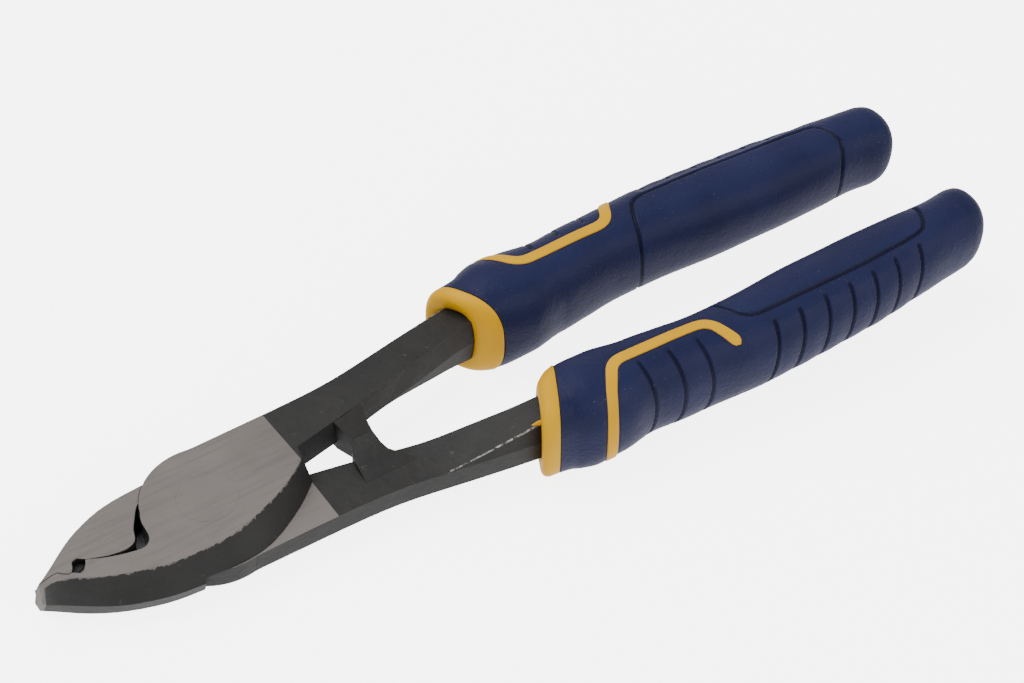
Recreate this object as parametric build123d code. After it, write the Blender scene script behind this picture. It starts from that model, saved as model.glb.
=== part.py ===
from build123d import *
import math
import os

# Cable cutting pliers, closed. Millimetres.
# Working frame: pivot axis is Z, the head's mid-plane is z = 0, +X runs from the
# pivot to the handle ends, +Y is the side of the upper lever's handle.
# Everything is written moved up by HALF, so the head's underside is z = 0.

# ---- driving dimensions ----
HEAD_T = 10.0              # thickness of the head over both levers
HALF = HEAD_T / 2
MATE_GAP = 0.03            # each plate's mating face stands this far off the mid-plane
PLATE_R5 = 12.1            # edge of a joint plate at its outer face
PLATE_R0 = 13.0            # edge of a joint plate at the mid-plane
RECESS_GAP = 0.1           # radial gap between a plate's edge and the other jaw
RIVET_R = 4.0              # rivet shank
RIVET_HEAD_R = 5.6         # countersunk rivet head at the face
RIVET_SINK = 2.0           # depth of the countersink
RIVET_RUN = 0.03           # radial running clearance in the upper lever
STOP_GAP = 0.02            # each stop face off the plane of contact
STOP_X0, STOP_X1 = 29.3, 33.8
STOP_H = 2.4               # stop faces reach this far above and below the mid-plane
NOSE_X = -33.6
OPEN_MAX = 40.0            # degrees
COLLAR_SLANT = 27.2        # degrees, collar plane against the plane square to X
COLLAR_P = (62.92, 11.01)  # a point of the collar's front plane
COLLAR_BAND = 2.9          # yellow band behind the front plane
COLLAR_ROUND = 2.0         # rounding of the collar's front edge
COVER_T = 2.1              # wall of the soft cover
RIB_W = 2.2                # hook rib width
RIB_RISE = 0.3             # hook rib above the cover
GROOVE_R = 0.9             # finger groove section radius
GROOVE_D = 0.75            # finger groove depth
PANEL_GROOVE_W = 0.9
PANEL_GROOVE_D = 0.4

# ---- plan outlines of the upper lever (x, y) ----
NEAR_TOP = [(18.56, -1.08), (13.93, -4.41), (8.8, -6.93), (3.49, -8.87), (-1.29, -9.95),
            (-6.89, -10.15), (-12.29, -9.75), (-17.34, -8.5), (-21.96, -6.8),
            (-26.0, -4.75), (-28.48, -3.3), (-30.6, -2.7), (-33.7, -2.95)]
NEAR_MID_UPPER = [(19.5, -3.5), (15.6, -6.9), (10.9, -10.1), (6.0, -12.5), (0.0, -13.3),
                  (-7.0, -12.7), (-13.0, -12.0), (-18.0, -10.65), (-22.4, -8.85),
                  (-26.6, -6.25), (-30.2, -3.75), (-33.7, -1.3)]
NEAR_MID_LOWER = [(19.5, -3.5), (15.6, -6.9), (10.9, -10.1), (6.0, -12.3), (0.0, -12.6),
                  (-7.0, -11.5), (-13.0, -10.6), (-18.0, -9.4), (-22.4, -7.6),
                  (-26.6, -5.0), (-30.2, -2.6), (-33.7, -0.7)]
NEAR_MID_Z = -1.0
NEAR_LOW_UPPER = [(19.0, -3.0), (14.0, -7.2), (8.8, -9.6), (3.49, -10.6), (-1.29, -10.9),
                  (-8.26, -10.6), (-12.1, -10.2), (-16.95, -9.0), (-22.95, -6.59),
                  (-28.46, -3.14), (-31.3, -0.9), (-33.7, 0.9)]
NEAR_LOW_LOWER = [(19.0, -3.0), (14.0, -7.2), (8.8, -9.6), (3.49, -10.0), (-1.29, -9.6),
                  (-8.05, -8.85), (-12.8, -8.55), (-17.06, -7.9), (-21.83, -6.2),
                  (-24.42, -4.9), (-27.29, -3.0), (-30.43, -0.6), (-33.7, 1.6)]
# blade line of the upper layer: straight runs from the tip past the notch, then a curve
# along the edge and round the hollow beside the joint
CUT_UP_TIP = [(NOSE_X, -1.75), (-32.1, -1.42), (-30.8, -1.18), (-29.9, -1.14), (-29.3, -1.85),
              (-28.4, -2.45), (-27.7, -2.47), (-24.35, -1.12)]
CUT_UP = [(-24.35, -1.12), (-23.4, -1.55), (-21.4, -2.48), (-19.3, -3.22), (-17.2, -3.78),
          (-15.5, -4.12), (-14.26, -4.06), (-13.3, -3.34), (-12.77, -2.33), (-12.57, -0.84),
          (-12.45, 0.97), (-12.1, 2.3), (-11.72, 3.1)]
# the same line on the jaw's own full-thickness side, as it lies in the lower layer
CUT_LOW_TIP = [(NOSE_X, 1.6), (-32.1, 1.27), (-30.8, 1.03), (-29.8, 0.99), (-29.15, 1.68),
               (-28.35, 2.28), (-27.77, 2.31), (-24.5, 0.98)]
CUT_LOW = [(-24.5, 0.98), (-23.37, 1.4), (-20.8, 2.36), (-19.0, 2.7), (-17.54, 2.8),
           (-16.19, 2.5), (-15.26, 1.79), (-14.78, 0.76), (-14.33, -0.57), (-13.63, -1.76),
           (-12.8, -3.06), (-11.9, -4.4), (-11.0, -5.3)]
# shallow notch over the blade line near the tip, half in each jaw
NOTCH = [(-27.77, -2.36), (-26.5, -3.3), (-25.7, -3.05), (-24.8, -1.8), (-24.46, -0.9),
         (-25.7, 0.05), (-26.45, -0.12), (-26.85, -0.45), (-27.1, -1.34)]
NOTCH_D = 1.5
TANG_OUT = [(-2.53, 11.64), (2.76, 12.3), (12.0, 11.95), (20.0, 11.96), (32.0, 12.55),
            (43.0, 14.32), (55.0, 16.36), (62.0, 17.35)]
TANG_IN = [(62.6, 11.3), (57.2, 10.5), (51.1, 9.0), (41.7, 6.8), (32.5, 4.5), (25.2, 2.95),
           (19.0, 1.7)]
TANG_DRAFT = 0.7
# side profile (x, z) of the upper lever's underside, from the joint to the grip
UNDER = [(36.0, MATE_GAP), (41.0, -0.25), (47.0, -1.4), (55.0, -3.4), (60.0, -4.6),
         (64.0, -5.0)]

# grip stations: x, centre y, half width, half height, exponent of the rounded section
GRIP = [(54.0, 14.8, 6.2, 9.2, 2.8), (61.0, 14.9, 6.6, 9.55, 2.8), (64.1, 14.95, 7.0, 9.85, 2.8),
        (66.2, 15.15, 8.0, 10.2, 2.6), (69.0, 15.35, 8.8, 10.45, 2.45),
        (74.0, 15.3, 9.15, 10.1, 2.3), (82.0, 15.45, 7.72, 9.88, 2.3),
        (88.0, 16.09, 7.65, 9.87, 2.3), (94.0, 16.59, 7.45, 9.61, 2.3),
        (100.0, 16.9, 7.76, 9.35, 2.3), (106.0, 17.05, 8.04, 9.3, 2.3),
        (120.0, 16.5, 8.55, 9.1, 2.3), (131.0, 16.15, 8.55, 8.65, 2.3),
        (144.5, 15.5, 7.6, 8.55, 2.3), (154.0, 15.05, 6.8, 8.3, 2.3),
        (157.6, 14.65, 6.8, 8.3, 2.3), (159.6, 14.43, 6.5, 7.95, 2.3),
        (161.0, 14.28, 5.79, 7.06, 2.3), (161.9, 14.18, 4.8, 5.85, 2.3),
        (162.6, 14.1, 3.5, 4.27, 2.3), (162.95, 14.06, 2.19, 2.67, 2.3)]
END_LEAN = 0.12            # the grip's blunt end leans: x grows with z by this slope
GROOVES_HOOK = [80.5, 86.9, 92.9]
HOOK_TILT = 3.0            # degrees, groove plane against the plane square to X
GROOVES_REAR = [107.2, 113.2, 119.4, 125.4, 131.2, 137.0, 143.0]
REAR_TILT = 9.1
RIB_TOP = [(75.8, 15.5), (96.4, 16.2)]
RIB_FOOT = (67.6, 29.5)
RIB_END = (100.1, 22.7)
RIB_UNDER_END = (98.2, 19.6)
PANEL = [(99.6, 5.0), (100.2, 9.4), (100.7, 10.5), (101.4, 12.5), (102.3, 16.0), (103.7, 18.4),
         (106.4, 19.3), (120.0, 19.5), (135.9, 18.8), (144.9, 18.1), (147.1, 17.5),
         (147.9, 16.1), (148.8, 13.8), (149.3, 11.8), (148.6, 9.6), (147.4, 7.5),
         (146.5, 5.0)]


def xyz(points, z):
    return [(x, y, z) for x, y in points]


def ring(z, *runs):
    """A closed wire at height z: each run is ("s", points) or ("p", points)."""
    edges = []
    last = None
    first = None
    for kind, pts in runs:
        pts = xyz(pts, z)
        if last is not None and last != pts[0]:
            edges.append(Edge.make_line(last, pts[0]))
        if kind == "s":
            edges.append(Edge.make_spline(pts))
        else:
            edges += [Edge.make_line(a, b) for a, b in zip(pts, pts[1:])]
        first = first or pts[0]
        last = pts[-1]
    edges.append(Edge.make_line(last, first))
    return Wire(edges)


def prism(points, z0, z1):
    face = Face(Wire.make_polygon(xyz(points, z0), close=True))
    return Solid.extrude(face, Vector(0, 0, z1 - z0))


def curved(z0, z1, *runs):
    """A prism between z0 and z1 over the closed outline made of the runs."""
    return Solid.extrude(Face(ring(z0, *runs)), Vector(0, 0, z1 - z0))


def over_ramp(y0, y1):
    """Everything above the underside of a shank, which ramps down to the grip."""
    at = [(x, y0, z) for x, z in UNDER]
    line = [(70.0, y0, -HALF), (70.0, y0, HALF), (14.0, y0, HALF), (14.0, y0, MATE_GAP)]
    edges = [Edge.make_spline(at, tangents=[(1, 0, 0), (1, 0, -0.02)])]
    line = [at[-1]] + line + [at[0]]
    edges += [Edge.make_line(a, b) for a, b in zip(line, line[1:])]
    return Solid.extrude(Face(Wire(edges)), Vector(0, y1 - y0, 0))


def cone(r_low, r_high, z0, z1):
    low = (Align.CENTER, Align.CENTER, Align.MIN)
    if r_low == r_high:
        return Pos(0, 0, z0) * Cylinder(r_low, z1 - z0, align=low)
    return Pos(0, 0, z0) * Cone(r_low, r_high, z1 - z0, align=low)


def one(shape):
    """The only solid of a boolean's result."""
    solids = [s for s in shape.solids() if s.volume > 1.0]
    assert len(solids) == 1, [s.volume for s in shape.solids()]
    return solids[0]


def lever(near_mid, near_low, hole_r):
    """The upper lever: jaw towards -Y, shank towards +Y."""
    # body between the two flanks of the jaw side
    body = Solid.make_loft(
        [ring(z, ("s", pts), ("p", [(NOSE_X - 0.1, 30.0), (40.0, 30.0), (40.0, pts[0][1])]))
         for z, pts in ((HALF, NEAR_TOP), (NEAR_MID_Z, near_mid), (-HALF, near_low))], True)
    body = body & prism([(NOSE_X, -30), (NOSE_X, 30), (45, 30), (45, -30)], -HALF, HALF)
    # joint plate and jaw of the upper layer
    plan = (("p", [(19.4, 2.2), (18.75, -1.0), (19.9, -4.5), (19.9, -30.0), (NOSE_X, -30.0)]
             + CUT_UP_TIP), ("s", CUT_UP), ("p", [(-14.0, 3.95), (-14.0, 30.0), (19.4, 30.0)]))
    upper = body & curved(MATE_GAP, HALF, *plan)
    far = Solid.make_loft(
        [ring(z, ("p", [(40.0, -30.0), (-40.0, -30.0), (-40.0, 4.0), (-16.0, 1.0)]), ("s", pts),
              ("p", [(40.0, pts[-1][1])]))
         for z, pts in ((HALF, [(-13.6, -2.0), (-13.0, 0.3), (-12.3, 3.0), (-11.3, 5.0),
                                (-9.9, 7.1), (-7.78, 9.35), (-4.4, 11.4), (0.2, 12.13),
                                (2.5, 11.88), (5.0, 11.85), (12.0, 11.9), (20.0, 11.96)]),
                        (0.0, [(-13.9, -2.0), (-13.6, 0.3), (-12.9, 3.2), (-12.1, 5.2),
                               (-10.8, 7.4), (-8.35, 10.1), (-4.7, 12.25), (0.2, 13.0),
                               (2.5, 12.78), (5.0, 12.7), (12.0, 12.6), (20.0, 12.66)]))], True)
    # the plate's edge towards the other jaw is a cone about the pivot
    wedge = prism([(0, 0), (6.2, 30), (-30, 30), (-30, 8.0)], -1, 6)
    inside = cone(PLATE_R0, PLATE_R5, 0, HALF)
    upper = (upper & far) - (wedge - inside)
    # jaw of the lower layer, outside the other plate
    low_plan = (("p", [(-10.0, -6.0), (-7.0, -9.9), (-7.3, -12.0), (-18.0, -30.0), (NOSE_X, -30.0)]
                 + CUT_LOW_TIP), ("s", CUT_LOW))
    # it is free of the other plate, and joins its own upper layer between the two mating faces
    recess = (cone(PLATE_R5 + RECESS_GAP, PLATE_R0 + RECESS_GAP, -HALF, 0)
              + cone(PLATE_R0 + RECESS_GAP, PLATE_R0 + RECESS_GAP, -0.01, 0.5))
    lower = (body & curved(-HALF, -MATE_GAP, *low_plan)) + (
        body & curved(-MATE_GAP, MATE_GAP, *low_plan) & curved(-MATE_GAP, MATE_GAP, *plan))
    lower = lower - recess
    upper = upper - prism(NOTCH, HALF - NOTCH_D, HALF + 1)
    lower = lower - prism([(x, -y) for x, y in NOTCH], -HALF - 1, -HALF + NOTCH_D)
    # shank with drafted sides and the ramp of its underside
    mid = lambda pts, d: [(x, y + d) for x, y in pts]
    shank = Solid.make_loft(
        [ring(z, ("s", mid(TANG_OUT, d)), ("s", mid(TANG_IN, -d)), ("p", [(0.0, 0.0)]))
         for z, d in ((HALF, 0.0), (0.0, TANG_DRAFT), (-HALF, 0.0))], True)
    shank = shank & over_ramp(-5.0, 25.0)
    tail = Solid.make_loft(
        [Wire.make_polygon([(x, c - w, -h), (x, c + w, -h), (x, c + w, h), (x, c - w, h)],
                           close=True)
         for x, c, w, h in ((58.5, 13.7, 2.9, 4.2), (76.0, 16.0, 2.9, 4.6),
                            (100.0, 17.0, 2.9, 4.4), (144.0, 15.4, 2.3, 3.4))], True)
    # stop boss: a flat stop face, a top that rises to the shank's edge, a slanted underside
    boss = Solid.make_loft(
        [Wire.make_polygon([(x0, y, z0), (x1, y, z0), (x1, y, zb), (x0, y, za)], close=True)
         for y, x0, x1, z0, za, zb in (
             (STOP_GAP, STOP_X0, STOP_X1, -STOP_H, STOP_H, STOP_H),
             (2.9, 27.9, 33.9, -STOP_H + 0.55, 4.9, 3.9),
             (4.6, 27.6, 34.4, -STOP_H + 1.0, HALF, 4.95),
             (8.5, 27.4, 38.5, 0.0, HALF, HALF))], True)
    # a hole with a countersink at the outer face for the rivet
    hole = cone(hole_r, hole_r, -1, HALF + 1) + cone(
        hole_r, RIVET_HEAD_R + hole_r - RIVET_R, HALF - RIVET_SINK, HALF)
    shape = upper + shank + boss + tail + lower
    return one(shape - hole)


def rounded(w, h, n, count=28):
    out = []
    for k in range(count):
        a = 2 * math.pi * k / count
        ca, sa = math.cos(a), math.sin(a)
        out.append((w * math.copysign(abs(ca) ** (2 / n), ca),
                    h * math.copysign(abs(sa) ** (2 / n), sa)))
    return out


def section(x, c, w, h, n):
    t = min(1.0, max(0.0, (x - 138.0) / 18.0))
    lean = END_LEAN * t * t * (3 - 2 * t)
    return Wire([Edge.make_spline([(x + lean * z, c + y, z) for y, z in rounded(w, h, n)],
                                  periodic=True)])


def grip_form(grow, x_end=400.0):
    rows = [(x, c, w + grow, h + grow, n) for x, c, w, h, n in GRIP
            if x <= x_end and w + grow > 1.0]
    return Solid.make_loft([section(*row) for row in rows], x_end < 400.0)


def collar_form():
    """The collar as slanted rings, its front edge rounded off."""
    ta = math.tan(math.radians(COLLAR_SLANT))
    rings = []
    for d in (0.0, 0.15, 0.5, 1.1, COLLAR_ROUND, COLLAR_BAND):
        inset = 0.0
        if d < COLLAR_ROUND:
            inset = COLLAR_ROUND - math.sqrt(COLLAR_ROUND ** 2 - (COLLAR_ROUND - d) ** 2)
        base = COLLAR_P[0] + d / math.cos(math.radians(COLLAR_SLANT)) + COLLAR_P[1] * ta
        pts = []
        for uy, uz in rounded(1.0, 1.0, 2.8):
            y = 15.0
            for _ in range(8):
                c, w, h = centre(base - y * ta)[:3]
                y = c + (w - inset) * uy
            pts.append((base - y * ta, y, (h - inset) * uz))
        rings.append(Wire([Edge.make_spline(pts, periodic=True)]))
    return Solid.make_loft(rings, False)


def behind(offset, y0=-20.0, y1=60.0, x1=200.0):
    """Everything behind the slanted collar plane moved back by offset."""
    a = math.radians(COLLAR_SLANT)
    n = (math.cos(a), math.sin(a))
    px, py = COLLAR_P[0] + offset * n[0], COLLAR_P[1] + offset * n[1]
    at = lambda y: (px - (y - py) * math.tan(a), y)
    return prism([at(y0), at(y1), (x1, y1), (x1, y0)], -30, 30)


def strip(p, q, w, z0, z1, cap=0.0):
    dx, dy = q[0] - p[0], q[1] - p[1]
    n = math.hypot(dx, dy)
    ux, uy = dx / n, dy / n
    px, py = -uy * w / 2, ux * w / 2
    p = (p[0] - ux * cap, p[1] - uy * cap)
    q = (q[0] + ux * cap, q[1] + uy * cap)
    return prism([(p[0] + px, p[1] + py), (q[0] + px, q[1] + py),
                  (q[0] - px, q[1] - py), (p[0] - px, p[1] - py)], z0, z1)


def centre(x):
    for a, b in zip(GRIP, GRIP[1:]):
        if a[0] <= x <= b[0]:
            t = (x - a[0]) / (b[0] - a[0])
            return [a[i] + t * (b[i] - a[i]) for i in range(1, 4)]
    raise ValueError(x)


def groove(x, a0, a1, tilt):
    """A round-bottomed groove over the outer side, from angle a0 to a1 about X."""
    c, w, h = centre(x)
    radius = (w + h) / 2
    cy = c + w - radius
    ring_ = (Pos(x, cy, 0) * Rot(0, tilt, 0) * Rot(0, 90, 0)
             * Torus(radius + GROOVE_R - GROOVE_D, GROOVE_R))
    pie = [(cy, 0.0)] + [(cy + 30 * math.cos(math.radians(a0 + (a1 - a0) * i / 4)),
                          30 * math.sin(math.radians(a0 + (a1 - a0) * i / 4)))
                         for i in range(5)]
    face = Face(Wire.make_polygon([(x - 5, y, z) for y, z in pie], close=True))
    return ring_ & Solid.extrude(face, Vector(10, 0, 0))


def grip():
    outer = grip_form(0.0)
    rim = grip_form(RIB_RISE)
    shell = outer - grip_form(-PANEL_GROOVE_D)
    inner = grip_form(-COVER_T, 154.0)
    # hook rib: front leg over the outer side, a run along the top and one along the
    # underside, each with a short rear leg
    p, q = RIB_TOP
    rib = strip(p, RIB_FOOT, RIB_W, -30, 30, RIB_W / 2) + strip(p, q, RIB_W, -30, 30, RIB_W / 2)
    rib = rib + strip(q, RIB_END, RIB_W, 4.5, 30, RIB_W / 2)
    rib = rib + strip(q, RIB_UNDER_END, RIB_W, -30, -4.5, RIB_W / 2)
    rib = (rim & rib) & prism([(60, p[1] - 1.2), (60, 40), (110, 40), (110, p[1] - 1.2)], -30, 30)
    core = (inner & behind(COLLAR_BAND / 2)) + collar_form() + rib
    cover = (outer & behind(COLLAR_BAND)) - inner - rib
    for x in GROOVES_HOOK:
        cover = cover - groove(x, -42.0, 46.0, HOOK_TILT)
    for x in GROOVES_REAR:
        cover = cover - groove(x, -30.0, 52.0, REAR_TILT)
    inside = []
    cx = sum(p[0] for p in PANEL) / len(PANEL)
    cy = 13.0
    for x, y in PANEL:
        dx, dy = x - cx, y - cy
        inside.append((x - math.copysign(PANEL_GROOVE_W, dx) if abs(dx) > 16 else x,
                       y - PANEL_GROOVE_W if dy > 2 else y))
    frame = prism(PANEL, -30, 30) - prism([(x, y) for x, y in inside], -31, 31)
    cover = cover - (shell & frame)
    return core, cover


def biggest(shape):
    return max(shape.solids(), key=lambda s: s.volume)


upper = lever(NEAR_MID_UPPER, NEAR_LOW_UPPER, RIVET_R + RIVET_RUN)
lower = Rot(180, 0, 0) * lever(NEAR_MID_LOWER, NEAR_LOW_LOWER, RIVET_R)
core, cover = (biggest(shape) for shape in grip())
# the lower grip is the upper grip's mirror image
core_mirror = mirror(core, about=Plane.XZ)
cover_mirror = mirror(cover, about=Plane.XZ)
up = Pos(0, 0, HALF)

rivet = (cone(RIVET_R, RIVET_R, -HALF, HALF)
         + cone(RIVET_R, RIVET_HEAD_R, HALF - RIVET_SINK, HALF)
         + cone(RIVET_HEAD_R, RIVET_R, -HALF, -HALF + RIVET_SINK))

nodes = {
    "upper_lever": up * upper,
    "lower_lever": up * lower,
    "pivot_rivet": up * one(rivet),
    "upper_grip_core": up * biggest(core - upper),
    "upper_grip_cover": up * cover,
    "lower_grip_core": up * biggest(core_mirror - lower),
    "lower_grip_cover": up * cover_mirror,
}
os.makedirs("parts", exist_ok=True)
for name, shape in nodes.items():
    export_step(shape, "parts/" + name + ".step")
    box = shape.bounding_box()
    print(name, len(shape.solids()), round(shape.volume, 1), shape.is_valid,
          [round(v, 2) for v in (*box.min, *box.max)])
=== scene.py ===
import math

import bmesh
import bpy
import numpy as np
from mathutils import Matrix, Vector


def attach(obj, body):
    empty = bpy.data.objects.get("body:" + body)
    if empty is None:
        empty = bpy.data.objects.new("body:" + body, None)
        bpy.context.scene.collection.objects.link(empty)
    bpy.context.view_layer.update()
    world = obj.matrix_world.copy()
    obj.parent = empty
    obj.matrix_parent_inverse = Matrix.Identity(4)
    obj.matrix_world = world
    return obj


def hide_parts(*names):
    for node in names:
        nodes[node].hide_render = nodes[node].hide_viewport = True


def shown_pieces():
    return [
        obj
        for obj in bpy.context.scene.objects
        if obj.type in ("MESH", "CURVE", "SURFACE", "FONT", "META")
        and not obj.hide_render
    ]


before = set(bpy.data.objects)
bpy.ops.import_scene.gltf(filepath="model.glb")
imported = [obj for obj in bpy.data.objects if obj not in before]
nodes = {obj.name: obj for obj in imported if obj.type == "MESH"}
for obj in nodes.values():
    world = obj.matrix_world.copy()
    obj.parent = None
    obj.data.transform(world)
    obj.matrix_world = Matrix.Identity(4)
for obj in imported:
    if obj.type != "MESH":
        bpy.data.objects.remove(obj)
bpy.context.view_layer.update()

MM = 0.001
HALF = 5.0                      # the head's mid-plane above the row frame's origin, mm

# ---------------------------------------------------------------- grip surface
GRIP = [(54.0, 14.8, 6.2, 9.2, 2.8), (61.0, 14.9, 6.6, 9.55, 2.8), (64.1, 14.95, 7.0, 9.85, 2.8),
        (66.2, 15.15, 8.0, 10.2, 2.6), (69.0, 15.35, 8.8, 10.45, 2.45),
        (74.0, 15.3, 9.15, 10.1, 2.3), (82.0, 15.45, 7.72, 9.88, 2.3),
        (88.0, 16.09, 7.65, 9.87, 2.3), (94.0, 16.59, 7.45, 9.61, 2.3),
        (100.0, 16.9, 7.76, 9.35, 2.3), (106.0, 17.05, 8.04, 9.3, 2.3),
        (120.0, 16.5, 8.55, 9.1, 2.3), (131.0, 16.15, 8.55, 8.65, 2.3),
        (144.5, 15.5, 7.6, 8.55, 2.3), (154.0, 15.05, 6.8, 8.3, 2.3),
        (157.6, 14.65, 6.8, 8.3, 2.3), (159.6, 14.43, 6.5, 7.95, 2.3),
        (161.0, 14.28, 5.79, 7.06, 2.3), (161.9, 14.18, 4.8, 5.85, 2.3),
        (162.6, 14.1, 3.5, 4.27, 2.3), (162.95, 14.06, 2.19, 2.67, 2.3)]
SLANT = math.tan(math.radians(27.2))
FRONT = {1: 60.4, -1: 60.35}     # front plane of each collar on its grip's centre line
BANDS = {1: 2.35, -1: 3.45}      # collar depth behind that plane, square to it
XS = np.array([g[0] for g in GRIP])


def pchip(ys, x):
    ys = np.array(ys, float)
    h = np.diff(XS)
    d = np.diff(ys) / h
    m = np.zeros(len(XS))
    for i in range(1, len(XS) - 1):
        if d[i - 1] * d[i] > 0:
            w1, w2 = 2 * h[i] + h[i - 1], h[i] + 2 * h[i - 1]
            m[i] = (w1 + w2) / (w1 / d[i - 1] + w2 / d[i])
    m[0], m[-1] = d[0], d[-1]
    i = np.clip(np.searchsorted(XS, x, side="right") - 1, 0, len(XS) - 2)
    t = np.clip((x - XS[i]) / h[i], 0, 1)
    return ((2 * t**3 - 3 * t**2 + 1) * ys[i] + (t**3 - 2 * t**2 + t) * h[i] * m[i]
            + (-2 * t**3 + 3 * t**2) * ys[i + 1] + (t**3 - t**2) * h[i] * m[i + 1])


def centre(x):
    return pchip([g[1] for g in GRIP], x)


def half_w(x):
    return pchip([g[2] for g in GRIP], x)


def half_h(x):
    return pchip([g[3] for g in GRIP], x)


def power(x):
    """Exponent of the rounded section."""
    return pchip([g[4] for g in GRIP], x)


def smooth(t):
    t = np.clip(t, 0, 1)
    return t * t * (3 - 2 * t)


def bump(d, r):
    """1 at d = 0 falling smoothly to 0 at |d| = r."""
    t = np.clip(np.abs(d) / r, 0, 1)
    return (1 - t * t) ** 2


def cut(d, r):
    """A groove's section: 1 in the middle, a crisp edge at |d| = r."""
    t = np.clip(np.abs(d) / r, 0, 1)
    return (1 - t * t) ** 0.8


def surf(X, a):
    """Points of the grip's plain surface; X is the station, slanted like the collar near the front."""
    k = 1 - smooth((X - 78) / 26)
    ca, sa = np.cos(a), np.sin(a)
    c0 = centre(X)
    x = X.copy()
    for _ in range(8):
        e = 2 / power(x)
        Y = np.sign(ca) * np.abs(ca) ** e
        x = 0.4 * x + 0.6 * (X - k * SLANT * (centre(x) + half_w(x) * Y - c0))
    Z = np.sign(sa) * np.abs(sa) ** e
    return np.stack([x, centre(x) + half_w(x) * Y, half_h(x) * Z], -1)


def lean_end(P, side):
    """The blunt end of the grip leans the same way on both grips."""
    P = P.copy()
    P[..., 0] += 0.12 * side * P[..., 2] * smooth((P[..., 0] - 138.0) / 18.0)
    return P


def normals(P):
    du = np.gradient(P, axis=0)
    dv = np.stack([(np.roll(P[..., i], -1, 1) - np.roll(P[..., i], 1, 1)) for i in range(3)], -1)
    n = np.cross(du, dv)
    n /= np.linalg.norm(n, axis=-1, keepdims=True) + 1e-12
    c = np.stack([P[..., 0], centre(P[..., 0]), 0 * P[..., 0]], -1)
    s = np.sign(((P - c) * n).sum(-1, keepdims=True))
    return n * np.where(s == 0, 1, s)


# ------------------------------------------------------------------ grip relief
REAR_GROOVES = [108.5, 114.5, 120.7, 126.7, 132.5, 138.3, 144.3]      # at the top edge
HOOK_GROOVES = [80.9, 87.2, 93.3]
PANEL = [(100.2, 4.0), (100.2, 9.0), (100.5, 10.2), (101.0, 12.0), (101.6, 14.2), (102.3, 16.0),
         (103.2, 17.7), (104.6, 18.8), (106.6, 19.3), (112.0, 19.3), (121.0, 19.2),
         (132.0, 18.9), (141.0, 18.4), (144.9, 18.0), (146.7, 17.5), (147.8, 16.2),
         (148.8, 13.8), (149.3, 11.8), (148.9, 9.9), (148.1, 8.2), (147.6, 4.0)]
HOOK = [(70.2, 25.0), (71.2, 22.6), (73.0, 19.2), (75.8, 15.5), (80.1, 15.5), (86.0, 15.7),
        (92.3, 15.9), (96.2, 16.1), (98.2, 19.8), (99.4, 21.6), (100.0, 22.6)]


def dist_poly(x, y, pts, closed=False):
    """Distance from (x, y) to a polyline."""
    best = np.full(x.shape, 1e9)
    pairs = list(zip(pts, pts[1:])) + ([(pts[-1], pts[0])] if closed else [])
    for (ax, ay), (bx, by) in pairs:
        dx, dy = bx - ax, by - ay
        t = np.clip(((x - ax) * dx + (y - ay) * dy) / (dx * dx + dy * dy), 0, 1)
        best = np.minimum(best, np.hypot(x - ax - t * dx, y - ay - t * dy))
    return best


def inside_poly(x, y, pts):
    hit = np.zeros(x.shape, bool)
    for (ax, ay), (bx, by) in zip(pts, pts[1:] + pts[:1]):
        if ay == by:
            continue
        cross = ((ay > y) != (by > y)) & (x < (bx - ax) * (y - ay) / (by - ay) + ax)
        hit ^= cross
    return hit


def relief(P, side):
    """Depth of the moulded grooves and pads at P, and how deep in a groove each point lies (0 to 1), which sets the
    painted groove shade.
    """
    x, y, z = P[..., 0], P[..., 1], P[..., 2]
    groove_shade = np.zeros(x.shape)
    c, w, h = centre(x), half_w(x), half_h(x)
    out = (y - c) / w
    d = np.zeros(x.shape)
    # finger grooves behind the hook, on the outer side; they lean the same way on both grips
    for x0 in REAR_GROOVES:
        g = x0 - 0.16 * (8.0 - side * z)
        line = cut(x - g, 0.48) * smooth((out - 0.50) / 0.12)
        d -= 0.62 * line
        groove_shade = np.maximum(groove_shade, line)
    # the pad between two grooves is highest in its middle
    pad = smooth((out - 0.4) / 0.35) * smooth((x - 106) / 3) * (1 - smooth((x - 145) / 3))
    lean = x + 0.16 * (8.0 - side * z)
    d -= pad * (0.09 + 0.10 * np.cos((lean - REAR_GROOVES[0]) / 5.97 * math.pi) ** 2)
    for x0 in HOOK_GROOVES:
        g = x0 - 0.014 * (side * z - 2.0) ** 2
        line = cut(x - g, 0.44) * smooth((out - 0.22) / 0.14)
        d -= 0.55 * line
        groove_shade = np.maximum(groove_shade, 0.85 * line)
    # panel groove on the top, wrapping the inner side
    dp = dist_poly(x, y, PANEL)
    d -= 0.55 * cut(dp, 0.46)
    groove_shade = np.maximum(groove_shade, cut(dp, 0.46))
    # soft dip just outside the panel's long edge
    d -= 0.22 * bump(dist_poly(x, y, [(108, 20.9), (121, 20.7), (141, 20.0)]), 1.6) * (y > 19.2)
    # fine parting line round the hook rib
    dh = dist_poly(x, y, HOOK)
    d -= 0.10 * bump(dh - 1.25, 0.3) * (y > 14.0)
    return d, groove_shade


def mesh_object(name, verts, faces, material, shade_smooth=True):
    me = bpy.data.meshes.new(name)
    me.from_pydata([tuple(v) for v in verts], [], faces)
    me.update()
    ob = bpy.data.objects.new(name, me)
    bpy.context.scene.collection.objects.link(ob)
    me.materials.append(material)
    me.polygons.foreach_set("use_smooth", [shade_smooth] * len(me.polygons))
    return ob


def grid_faces(nu, nv, wrap=True, flip=False):
    faces = []
    for i in range(nu - 1):
        for j in range(nv if wrap else nv - 1):
            k = (j + 1) % nv
            q = (i * nv + j, i * nv + k, (i + 1) * nv + k, (i + 1) * nv + j)
            faces.append(q[::-1] if flip else q)
    return faces


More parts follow.
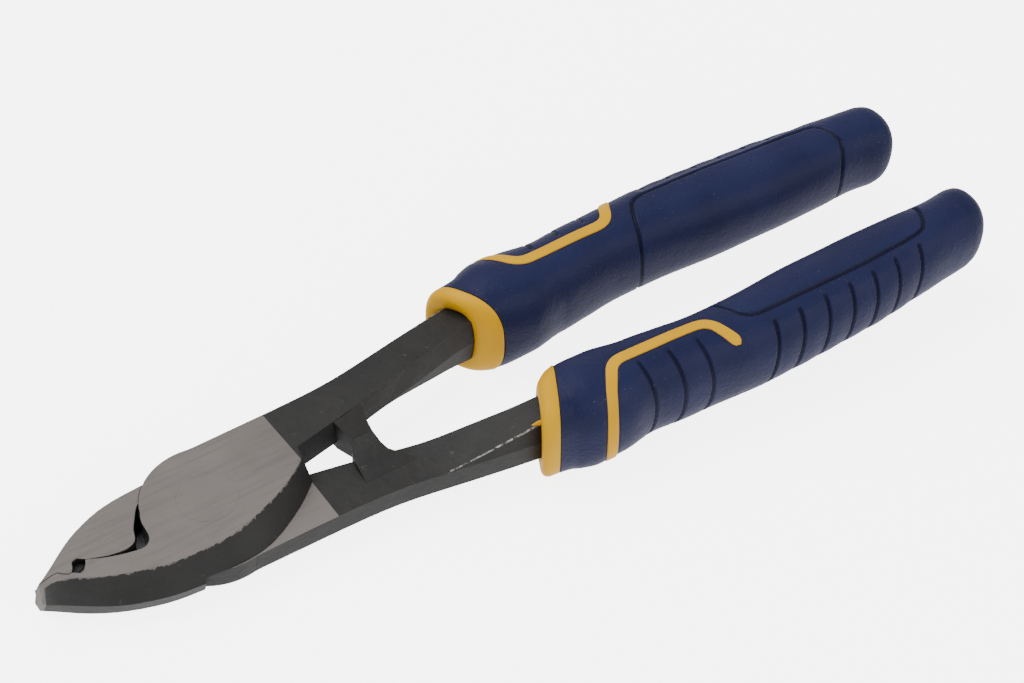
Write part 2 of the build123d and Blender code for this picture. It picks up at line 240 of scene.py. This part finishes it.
def place(P, side):
    """Grip coordinates of the upper handle into the row frame, in metres; side -1 turns it over for the lower one."""
    Q = np.array(P, float).reshape(-1, 3) * [1.0, side, side]
    Q[:, 2] += HALF
    return Q * MM


NA = 288
ANG = np.linspace(0, 2 * math.pi, NA, endpoint=False)


def rows(stations):
    X, A = np.meshgrid(np.array(stations), ANG, indexing="ij")
    return surf(X, A)


def cover_mesh(name, side, material):
    back = BANDS[side] / math.cos(math.atan(SLANT))
    xs = [FRONT[side] + back + 0.02 * i for i in range(4)]
    x = xs[-1]
    while x < 150:
        x += 0.16
        xs.append(x)
    t = np.linspace(0, 1, 60)[1:]
    xs += list(x + (XS[-1] - x) * (1 - (1 - t) ** 1.6))
    P = rows(xs)
    n = normals(P)
    end = smooth((XS[-1] - P[..., 0]) / 2.0)
    depth, groove_shade = relief(P, side)
    P = P + n * (depth * end)[..., None]
    P = lean_end(P, side)
    # the front edge tucks in towards the collar
    lip = np.array([0.35, 0.18, 0.06, 0.0] + [0.0] * (len(xs) - 4))
    P = P - n * lip[:, None, None]
    verts = list(place(P, side))
    faces = grid_faces(len(xs), NA)
    tip = place(P[-1].mean(0), side)[0]
    verts.append(tip)
    k = len(verts) - 1
    last = (len(xs) - 1) * NA
    faces += [(last + j, last + (j + 1) % NA, k) for j in range(NA)]
    first = P[0].mean(0)
    inner = first + (P[0] - first) * 0.8
    verts += list(place(inner, side))
    base = len(verts) - NA
    faces += [(base + j, base + (j + 1) % NA, (j + 1) % NA, j) for j in range(NA)]
    ob = mesh_object(name, verts, faces, material)
    # the groove attribute sets where the navy is painted darker as groove shade
    groove = np.zeros(len(verts), np.float32)
    groove[:groove_shade.size] = (groove_shade * end).reshape(-1)
    ob.data.attributes.new("groove", "FLOAT", "POINT").data.foreach_set("value", groove)
    return ob


def collar_mesh(name, side, material):
    """Slanted rings from the cover forwards, over the rounded front edge and in to the shank."""
    cosa = math.cos(math.atan(SLANT))
    r = 1.85
    front, band = FRONT[side], BANDS[side]
    ca, sa = np.cos(ANG), np.sin(ANG)
    uy = np.sign(ca) * np.abs(ca) ** (2 / 2.8)
    uz = np.sign(sa) * np.abs(sa) ** (2 / 2.8)
    c0 = float(centre(np.array([front]))[0])

    def ring(depth, inset, kw=1.0, kh=1.0):
        X = front + depth / cosa
        y = np.full(NA, c0)
        for _ in range(12):
            x = X - SLANT * (y - c0)
            y = 0.4 * y + 0.6 * (centre(x) + (half_w(x) - inset) * kw * uy)
        x = X - SLANT * (y - c0)
        return np.stack([x, y, (half_h(x) - inset) * kh * uz], -1)

    out = [ring(band - 0.0, 0.35), ring(band - 0.04, 0.12), ring(band - 0.12, 0.02)]
    for t in np.linspace(0, math.pi / 2, 16):
        out.append(ring(r - r * math.sin(t), r * (1 - math.cos(t)) * 0.92))
    last = r * 0.92
    for k, back in ((0.95, 0.01), (0.88, 0.07), (0.80, 0.22), (0.73, 0.48), (0.68, 0.85), (0.6, 1.2)):
        out.append(ring(back, last, k, 0.02 + 0.98 * k + 0.05 * (1 - k)))
    out.append(ring(1.2, last, 0.2, 0.2))
    verts = list(place(np.concatenate(out), side))
    faces = grid_faces(len(out), NA, flip=True)
    return mesh_object(name, verts, faces, material)


def hook_mesh(name, side, material):
    """The raised rib: a strip along the HOOK path on the top, down the outer side, and back along the underside."""
    # path on the surface as (station x, height sign, y): resample HOOK finely on the top half
    pts = np.array(HOOK)
    # centre line in (x, y); the part beyond the outer side is walked by angle
    leg = []
    for a in np.linspace(-58, 58, 60):
        ar = math.radians(a)
        X = np.array([[75.05]])
        p = surf(X, np.array([[ar]]))[0, 0]
        leg.append(p)
    top = []
    corner = leg[-1]
    path_xy = [(corner[0], corner[1]), (75.2, 16.3), (75.7, 15.7), (76.6, 15.45), (80.1, 15.5),
               (86.0, 15.7), (92.3, 15.9), (95.6, 16.05), (96.8, 16.7), (98.2, 19.8), (99.4, 21.6),
               (100.0, 22.5)]
    res = []
    for (ax, ay), (bx, by) in zip(path_xy, path_xy[1:]):
        m = max(2, int(math.hypot(bx - ax, by - ay) / 0.35))
        for i in range(m):
            t = i / m
            res.append((ax + t * (bx - ax), ay + t * (by - ay)))
    res.append(path_xy[-1])
    res = np.array(res)
    k = 5
    sm = res.copy()
    for i in range(len(res)):
        lo, hi = max(0, i - k), min(len(res), i + k + 1)
        m = min(i - lo, hi - 1 - i)
        sm[i] = res[i - m:i + m + 1].mean(0)

    def on_top(x, y):
        c, w, h = (float(f(np.array([x]))[0]) for f in (centre, half_w, half_h))
        q = min(1.0, abs((y - c) / w))
        return np.array([x, y, h * (1 - q ** 2.3) ** (1 / 2.3)])

    top = [on_top(x, y) for x, y in sm]
    bottom = [p * [1, 1, -1] for p in top][::-1]
    short = lambda p: p[0] < 97.0 or p[1] < 19.6
    if side > 0:
        bottom = [p for p in bottom if short(p)]
    else:
        top = [p for p in top if short(p)]
    line = np.array(bottom + leg[1:-1] + top)

    def surf_normal(p):
        c, w, h = (float(f(np.array([p[0]]))[0]) for f in (centre, half_w, half_h))
        q = np.array([0.0, np.sign(p[1] - c) * abs((p[1] - c) / w) ** 1.3 / w,
                      np.sign(p[2]) * abs(p[2] / h) ** 1.3 / h])
        return q / np.linalg.norm(q)

    half = 1.1
    prof = [(-1.0, -0.5), (-1.0, 0.12), (-0.93, 0.22), (-0.8, 0.26), (0.0, 0.28), (0.8, 0.26),
            (0.93, 0.22), (1.0, 0.12), (1.0, -0.5)]
    verts, m = [], len(prof)
    tang = np.gradient(line, axis=0)
    for i, p in enumerate(line):
        n = surf_normal(p)
        t = tang[i] / np.linalg.norm(tang[i])
        b = np.cross(n, t)
        b /= np.linalg.norm(b)
        s_end = min(i, len(line) - 1 - i) * 0.3
        taper = math.sqrt(max(0.0, 1 - max(0.0, 1 - s_end / 1.1) ** 2)) if s_end < 1.1 else 1.0
        for u, v in prof:
            q = p + b * (u * half * max(taper, 0.05))
            # bring the strip's edge back to the surface
            c, w, h = (float(f(np.array([q[0]]))[0]) for f in (centre, half_w, half_h))
            r = (abs((q[1] - c) / w) ** 2.3 + abs(q[2] / h) ** 2.3) ** (1 / 2.3)
            q = np.array([q[0], c + (q[1] - c) / r, q[2] / r])
            verts.append(q + surf_normal(q) * v)
    verts = place(np.array(verts), side)
    faces = []
    for i in range(len(line) - 1):
        for j in range(m - 1):
            faces.append((i * m + j, i * m + j + 1, (i + 1) * m + j + 1, (i + 1) * m + j))
    faces.append(tuple(range(m)))
    faces.append(tuple(((len(line) - 1) * m + j) for j in range(m))[::-1])
    ob = mesh_object(name, verts, faces, material)
    return ob


# -------------------------------------------------------------------- materials
def new_material(name):
    m = bpy.data.materials.new(name)
    m.use_nodes = True
    nt = m.node_tree
    for n in list(nt.nodes):
        nt.nodes.remove(n)
    out = nt.nodes.new("ShaderNodeOutputMaterial")
    b = nt.nodes.new("ShaderNodeBsdfPrincipled")
    nt.links.new(b.outputs[0], out.inputs[0])
    return m, nt, b


def noise(nt, scale, detail=4.0, rough=0.5, vec=None, dist=0.0):
    n = nt.nodes.new("ShaderNodeTexNoise")
    n.inputs["Scale"].default_value = scale
    n.inputs["Detail"].default_value = detail
    n.inputs["Roughness"].default_value = rough
    n.inputs["Distortion"].default_value = dist
    if vec is not None:
        nt.links.new(vec, n.inputs["Vector"])
    return n


def ramp(nt, fac, stops):
    r = nt.nodes.new("ShaderNodeValToRGB")
    while len(r.color_ramp.elements) < len(stops):
        r.color_ramp.elements.new(0.5)
    for e, (p, c) in zip(r.color_ramp.elements, stops):
        e.position = p
        e.color = (*c, 1.0) if len(c) == 3 else c
    nt.links.new(fac, r.inputs[0])
    return r


def math_node(nt, op, a, b=None, clamp=False):
    n = nt.nodes.new("ShaderNodeMath")
    n.operation = op
    n.use_clamp = clamp
    for i, v in enumerate((a, b)):
        if v is None:
            continue
        if isinstance(v, (int, float)):
            n.inputs[i].default_value = v
        else:
            nt.links.new(v, n.inputs[i])
    return n.outputs[0]


def mix_rgb(nt, fac, a, b):
    n = nt.nodes.new("ShaderNodeMix")
    n.data_type = "RGBA"
    for sock, v in ((n.inputs[0], fac), (n.inputs[6], a), (n.inputs[7], b)):
        if isinstance(v, (int, float)):
            sock.default_value = v
        elif isinstance(v, tuple):
            sock.default_value = (*v, 1.0)
        else:
            nt.links.new(v, sock)
    return n.outputs[2]


def bump_node(nt, height, strength, distance, normal=None):
    n = nt.nodes.new("ShaderNodeBump")
    n.inputs["Strength"].default_value = strength
    n.inputs["Distance"].default_value = distance
    nt.links.new(height, n.inputs["Height"])
    if normal is not None:
        nt.links.new(normal, n.inputs["Normal"])
    return n.outputs[0]


def navy_material():
    m, nt, b = new_material("navy_rubber")
    co = nt.nodes.new("ShaderNodeTexCoord").outputs["Object"]
    broad = noise(nt, 90.0, 3.0, 0.5, co)
    col = ramp(nt, broad.outputs[0], [(0.3, (0.0078, 0.0110, 0.046)), (0.7, (0.0120, 0.0155, 0.062))])
    dust = noise(nt, 2600.0, 1.0, 0.4, co)
    specks = ramp(nt, dust.outputs[0], [(0.735, (0, 0, 0)), (0.78, (1, 1, 1))])
    cluster = ramp(nt, noise(nt, 55.0, 2.0, 0.5, co).outputs[0], [(0.47, (0.12, 0.12, 0.12)), (0.63, (1, 1, 1))])
    fac = math_node(nt, "MULTIPLY", math_node(nt, "MULTIPLY", specks.outputs[0], cluster.outputs[0]), 0.3)
    color = mix_rgb(nt, fac, col.outputs[0], (0.32, 0.31, 0.36))
    # painted shade darkens the moulded grooves
    deep = nt.nodes.new("ShaderNodeAttribute")
    deep.attribute_name = "groove"
    color = mix_rgb(nt, math_node(nt, "MULTIPLY", deep.outputs["Fac"], 0.85, True), color, (0.0022, 0.0030, 0.0125))
    nt.links.new(color, b.inputs["Base Color"])
    b.inputs["Roughness"].default_value = 0.47
    b.inputs["IOR"].default_value = 1.3
    b.inputs["Specular IOR Level"].default_value = 0.35
    b.inputs["Sheen Weight"].default_value = 0.07
    b.inputs["Sheen Roughness"].default_value = 0.5
    b.inputs["Sheen Tint"].default_value = (0.75, 0.65, 0.95, 1.0)
    grain = noise(nt, 1500.0, 3.0, 0.6, co)
    coarse = noise(nt, 420.0, 2.0, 0.5, co)
    n1 = bump_node(nt, coarse.outputs[0], 0.30, 0.0004)
    n2 = bump_node(nt, grain.outputs[0], 0.55, 0.00022, n1)
    nt.links.new(n2, b.inputs["Normal"])
    return m


def yellow_material():
    m, nt, b = new_material("yellow_plastic")
    co = nt.nodes.new("ShaderNodeTexCoord").outputs["Object"]
    broad = noise(nt, 160.0, 2.0, 0.5, co)
    col = ramp(nt, broad.outputs[0], [(0.3, (0.68, 0.352, 0.0)), (0.7, (0.74, 0.385, 0.0))])
    nt.links.new(col.outputs[0], b.inputs["Base Color"])
    b.inputs["Roughness"].default_value = 0.42
    b.inputs["Specular IOR Level"].default_value = 0.14
    grain = noise(nt, 1300.0, 2.0, 0.5, co)
    nt.links.new(bump_node(nt, grain.outputs[0], 0.2, 0.00015), b.inputs["Normal"])
    return m


def lever_material(side):
    """Black oxide steel with ground faces; side 1 is the upper lever, -1 the lower one."""
    m, nt, b = new_material("lever_steel_upper" if side > 0 else "lever_steel_lower")
    co = nt.nodes.new("ShaderNodeTexCoord").outputs["Object"]
    geo = nt.nodes.new("ShaderNodeNewGeometry")
    sp = nt.nodes.new("ShaderNodeSeparateXYZ")
    nt.links.new(co, sp.inputs[0])
    sn = nt.nodes.new("ShaderNodeSeparateXYZ")
    nt.links.new(geo.outputs["True Normal"], sn.inputs[0])
    x, y, z = sp.outputs
    # distances in millimetres in the lever's own sense: up = towards its outer face
    xm = math_node(nt, "MULTIPLY", x, 1000.0)
    zm = math_node(nt, "SUBTRACT", math_node(nt, "MULTIPLY", z, 1000.0), HALF)
    ym = math_node(nt, "MULTIPLY", y, 1000.0)
    flat = math_node(nt, "GREATER_THAN", math_node(nt, "ABSOLUTE", sn.outputs[2]), 0.9)
    # ground edge of the jaw faces is uneven: it runs down on to the flank here and there
    ragged = noise(nt, 900.0, 5.0, 0.7, co)
    depth = math_node(nt, "MULTIPLY", math_node(nt, "SUBTRACT", ragged.outputs[0], 0.42), 1.9)
    near_face = math_node(nt, "GREATER_THAN", math_node(nt, "ADD", math_node(nt, "ABSOLUTE", zm), depth), HALF - 0.02)
    top = math_node(nt, "MAXIMUM", flat, near_face)
    # only in front of the ground area's rear line
    line = math_node(nt, "ADD", 18.35, math_node(nt, "MULTIPLY", ym, -0.042))
    ahead = math_node(nt, "LESS_THAN", xm, line)
    face_high = math_node(nt, "GREATER_THAN", math_node(nt, "ABSOLUTE", zm), 4.0)
    outer = math_node(nt, "MULTIPLY", math_node(nt, "MULTIPLY", top, ahead), face_high)
    # mating face, ground back to its own line
    ahead2 = math_node(nt, "LESS_THAN", xm, 19.3)
    low = math_node(nt, "LESS_THAN", math_node(nt, "ABSOLUTE", zm), 0.3)
    mating = math_node(nt, "MULTIPLY", math_node(nt, "MULTIPLY", flat, ahead2), low)
    ground = math_node(nt, "MAXIMUM", outer, mating, True)
    # ground nose
    nose = math_node(nt, "LESS_THAN", xm, -33.1)
    ground = math_node(nt, "MAXIMUM", ground, nose, True)
    # ground steel colour; the rubbed-through edges further down are painted lighter still as a highlight
    g_noise = noise(nt, 35.0, 3.0, 0.55, co)
    steel = ramp(nt, g_noise.outputs[0], [(0.3, (0.160, 0.145, 0.135)), (0.7, (0.205, 0.187, 0.175))])
    stretched = nt.nodes.new("ShaderNodeMapping")
    stretched.inputs["Scale"].default_value = (1.0, 14.0, 1.0)
    stretched.inputs["Rotation"].default_value = (0.0, 0.0, 0.9)
    nt.links.new(co, stretched.inputs["Vector"])
    brush = noise(nt, 260.0, 4.0, 0.6, stretched.outputs[0])
    # faint grinding smudges
    smear = ramp(nt, noise(nt, 75.0, 4.0, 0.6, stretched.outputs[0]).outputs[0], [(0.50, (0, 0, 0)), (0.68, (1, 1, 1))])
    steel_color = mix_rgb(nt, math_node(nt, "MULTIPLY", smear.outputs[0], 0.28), steel.outputs[0], (0.095, 0.088, 0.084))
    b_noise = noise(nt, 120.0, 5.0, 0.6, co)
    black = ramp(nt, b_noise.outputs[0], [(0.3, (0.0100, 0.0094, 0.0091)), (0.72, (0.0180, 0.0168, 0.0161))])
    scuff = noise(nt, 420.0, 3.0, 0.7, co)
    scuffs = ramp(nt, scuff.outputs[0], [(0.66, (0, 0, 0)), (0.74, (1, 1, 1))])
    black2 = mix_rgb(nt, math_node(nt, "MULTIPLY", scuffs.outputs[0], 0.35), black.outputs[0], (0.10, 0.095, 0.092))
    color = mix_rgb(nt, ground, black2, steel_color)
    # the coating is rubbed through along the shank's outer edge, and that bare edge is painted a lighter grey than the
    # ground faces as a highlight; the lower lever's shank rises to the grip
    ay = math_node(nt, "ABSOLUTE", ym)
    if side < 0:
        edge_y, edge_z, start = (14.95, 0.129), (0.25, 0.229), 41.0
    else:
        edge_y, edge_z, start = (14.32, 0.172), (5.0, 0.0), 52.0
    along = math_node(nt, "SUBTRACT", xm, 43.0)
    lim_y = math_node(nt, "ADD", edge_y[0] - 0.22, math_node(nt, "MULTIPLY", along, edge_y[1]))
    lim_z = math_node(nt, "ADD", edge_z[0] - 0.25, math_node(nt, "MULTIPLY", math_node(nt, "SUBTRACT", xm, 41.0), edge_z[1]))
    rim = math_node(nt, "GREATER_THAN", ay, lim_y)
    high = math_node(nt, "GREATER_THAN", zm, lim_z)
    far_on = math_node(nt, "GREATER_THAN", xm, start)
    rub = noise(nt, 1500.0, 3.0, 0.7, co)
    rubbed = ramp(nt, rub.outputs[0], [(0.42, (0, 0, 0)), (0.54, (1, 1, 1))])
    wear_and_highlight = math_node(nt, "MULTIPLY", math_node(nt, "MULTIPLY", rim, high), math_node(nt, "MULTIPLY", far_on, rubbed.outputs[0]))
    # painted highlight: the rubbed-through edge is mixed to a grey brighter than bare ground steel
    color = mix_rgb(nt, math_node(nt, "MULTIPLY", wear_and_highlight, 0.85), color, (0.36, 0.35, 0.34))
    nt.links.new(color, b.inputs["Base Color"])
    nt.links.new(math_node(nt, "MULTIPLY", math_node(nt, "MAXIMUM", ground, wear_and_highlight), 0.75), b.inputs["Metallic"])
    b.inputs["Specular IOR Level"].default_value = 0.35
    rough = math_node(nt, "ADD", 0.52, math_node(nt, "MULTIPLY", brush.outputs[0], 0.1))
    nt.links.new(rough, b.inputs["Roughness"])
    forged = noise(nt, 260.0, 4.0, 0.6, co)
    fine = noise(nt, 1400.0, 3.0, 0.6, co)
    h1 = math_node(nt, "MULTIPLY", forged.outputs[0], math_node(nt, "SUBTRACT", 1.0, ground))
    n1 = bump_node(nt, h1, 0.6, 0.00035)
    n2 = bump_node(nt, fine.outputs[0], 0.25, 0.0001, n1)
    n3 = bump_node(nt, brush.outputs[0], 0.06, 0.00006, n2)
    nt.links.new(n3, b.inputs["Normal"])
    return m


def rivet_material():
    m, nt, b = new_material("ground_rivet")
    co = nt.nodes.new("ShaderNodeTexCoord").outputs["Object"]
    g = noise(nt, 35.0, 3.0, 0.55, co)
    col = ramp(nt, g.outputs[0], [(0.3, (0.160, 0.145, 0.135)), (0.7, (0.205, 0.187, 0.175))])
    # the grinding smudges run on over the rivet's head
    stretched = nt.nodes.new("ShaderNodeMapping")
    stretched.inputs["Scale"].default_value = (1.0, 14.0, 1.0)
    stretched.inputs["Rotation"].default_value = (0.0, 0.0, 0.9)
    nt.links.new(co, stretched.inputs["Vector"])
    smear = ramp(nt, noise(nt, 75.0, 4.0, 0.6, stretched.outputs[0]).outputs[0], [(0.50, (0, 0, 0)), (0.68, (1, 1, 1))])
    color = mix_rgb(nt, math_node(nt, "MULTIPLY", smear.outputs[0], 0.28), col.outputs[0], (0.095, 0.088, 0.084))
    nt.links.new(color, b.inputs["Base Color"])
    b.inputs["Metallic"].default_value = 0.75
    b.inputs["Specular IOR Level"].default_value = 0.35
    b.inputs["Roughness"].default_value = 0.57
    f = noise(nt, 1400.0, 3.0, 0.6, co)
    nt.links.new(bump_node(nt, f.outputs[0], 0.25, 0.0001), b.inputs["Normal"])
    return m


NAVY, YELLOW = navy_material(), yellow_material()

# ----------------------------------------------------------------------- pieces
for label, side in (("upper", 1), ("lower", -1)):
    cover = cover_mesh(label + "_cover_skin", side, NAVY)
    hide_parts(label + "_grip_cover")
    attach(cover, label)
    collar = collar_mesh(label + "_collar", side, YELLOW)
    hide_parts(label + "_grip_core")
    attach(collar, label)
    hook = hook_mesh(label + "_hook_rib", side, YELLOW)
    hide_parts(label + "_grip_core")
    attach(hook, label)
    for ob in (cover, collar, hook):
        bm = bmesh.new()
        bm.from_mesh(ob.data)
        bmesh.ops.recalc_face_normals(bm, faces=bm.faces)
        bm.to_mesh(ob.data)
        bm.free()

# a little moulding flash runs out of the lower collar over the shank's edge
bm = bmesh.new()
bmesh.ops.create_icosphere(bm, subdivisions=4, radius=1.0)
me = bpy.data.meshes.new("lower_collar_flash")
for v in bm.verts:
    q = v.co
    thick = 0.42 + 0.10 * math.sin(3.1 * q.x + 0.6)
    v.co = Vector((59.0 + 1.45 * q.x, -16.98 - 0.25 * q.x + thick * 0.95 * q.y,
                   HALF + 4.82 + thick * q.z)) * MM
bm.to_mesh(me)
bm.free()
me.polygons.foreach_set("use_smooth", [True] * len(me.polygons))
me.materials.append(YELLOW)
flash = bpy.data.objects.new("lower_collar_flash", me)
bpy.context.scene.collection.objects.link(flash)
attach(flash, "lower")

for label, side in (("upper", 1), ("lower", -1)):
    ob = nodes[label + "_lever"]
    ob.data.materials.clear()
    ob.data.materials.append(lever_material(side))
    bev = ob.modifiers.new("edge", "BEVEL")
    bev.width = 0.00028
    bev.segments = 3
    bev.limit_method = "ANGLE"
    bev.angle_limit = math.radians(58)
    bev.harden_normals = True
ob = nodes["pivot_rivet"]
ob.data.materials.clear()
ob.data.materials.append(rivet_material())

# ------------------------------------------------------------- floor and light
dg = bpy.context.evaluated_depsgraph_get()
low = []
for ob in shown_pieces():
    ev = ob.evaluated_get(dg)
    co = np.zeros(len(ev.data.vertices) * 3, np.float32)
    ev.data.vertices.foreach_get("co", co)
    co = co.reshape(-1, 3)
    low.append(co[:, [0, 2]])
low = np.concatenate(low)
# the line under the part that its tip and its grips stand on
front = low[low[:, 0] < -0.030]
front = front[front[:, 1] < front[:, 1].min() + 0.00003]
a = front[front[:, 0].argmin()]
rear = low[low[:, 0] > 0.055]
slope = ((rear[:, 1] - a[1]) / (rear[:, 0] - a[0])).min()
me = bpy.data.meshes.new("floor")
S = 3.0
tilt = lambda x: a[1] + slope * (x - a[0]) - 0.00005
me.from_pydata([(-S, -S, tilt(-S)), (S, -S, tilt(S)), (S, S, tilt(S)), (-S, S, tilt(-S))], [], [(0, 1, 2, 3)])
floor = bpy.data.objects.new("floor", me)
bpy.context.scene.collection.objects.link(floor)
fm, fnt, fb = new_material("pale_floor")
fb.inputs["Base Color"].default_value = (0.93, 0.93, 0.93, 1)
fb.inputs["Roughness"].default_value = 0.6
fb.inputs["Specular IOR Level"].default_value = 0.2
fb.inputs["Emission Color"].default_value = (1.0, 1.0, 1.0, 1.0)
fb.inputs["Emission Strength"].default_value = 5.0
me.materials.append(fm)
floor.visible_diffuse = False
floor.visible_glossy = False

world = bpy.data.worlds.new("studio")
bpy.context.scene.world = world
world.use_nodes = True
bg = world.node_tree.nodes["Background"]
bg.inputs[0].default_value = (1.0, 1.0, 1.0, 1.0)
wnt = world.node_tree
wsp = wnt.nodes.new("ShaderNodeSeparateXYZ")
wnt.links.new(wnt.nodes.new("ShaderNodeTexCoord").outputs["Generated"], wsp.inputs[0])
wmr = wnt.nodes.new("ShaderNodeMapRange")
for i, v in ((1, -0.5), (2, 0.25), (3, 1.75), (4, 0.58)):
    wmr.inputs[i].default_value = v
wnt.links.new(wsp.outputs[2], wmr.inputs[0])
wnt.links.new(wmr.outputs[0], bg.inputs[1])


def area(name, loc, target, size, power, color=(1, 1, 1)):
    l = bpy.data.lights.new(name, "AREA")
    l.shape = "RECTANGLE"
    l.size, l.size_y = size
    l.energy = power
    l.color = color
    o = bpy.data.objects.new(name, l)
    bpy.context.scene.collection.objects.link(o)
    o.location = loc
    o.rotation_mode = "QUATERNION"
    o.rotation_quaternion = (Vector(target) - Vector(loc)).to_track_quat("-Z", "Y")
    return o


mid = Vector((0.07, 0.0, 0.0))
area("key", (-0.15, 0.25, 0.75), mid, (0.7, 0.5), 6.0)
area("fill", (0.35, -0.7, 0.45), mid, (0.8, 0.5), 3.0)

# ----------------------------------------------------------------------- camera
AZ, EL, ROLL, F, TX, TY, DIST = -0.57638, 0.80162, 0.00048, 2700.0, 209.4425, 515.5977, 480.274
back = np.array([math.sin(AZ) * math.cos(EL), -math.cos(AZ) * math.cos(EL), math.sin(EL)])
fwd = -back
right = np.cross(fwd, [0, 0, 1.0])
right /= np.linalg.norm(right)
upv = np.cross(right, fwd)
c, s = math.cos(ROLL), math.sin(ROLL)
right, upv = c * right + s * upv, -s * right + c * upv
eye = -((TX - 512) * DIST / F * right - (TY - 341.5) * DIST / F * upv + DIST * fwd)
eye = (eye + [0, 0, HALF]) * MM
cd = bpy.data.cameras.new("photo_camera")
cd.sensor_width = 36.0
cd.lens = F * 36.0 / 1024.0
cd.clip_start, cd.clip_end = 0.01, 20.0
cam = bpy.data.objects.new("photo_camera", cd)
bpy.context.scene.collection.objects.link(cam)
cam.matrix_world = Matrix(((right[0], upv[0], back[0], eye[0]), (right[1], upv[1], back[1], eye[1]),
                           (right[2], upv[2], back[2], eye[2]), (0, 0, 0, 1)))
bpy.context.scene.camera = cam
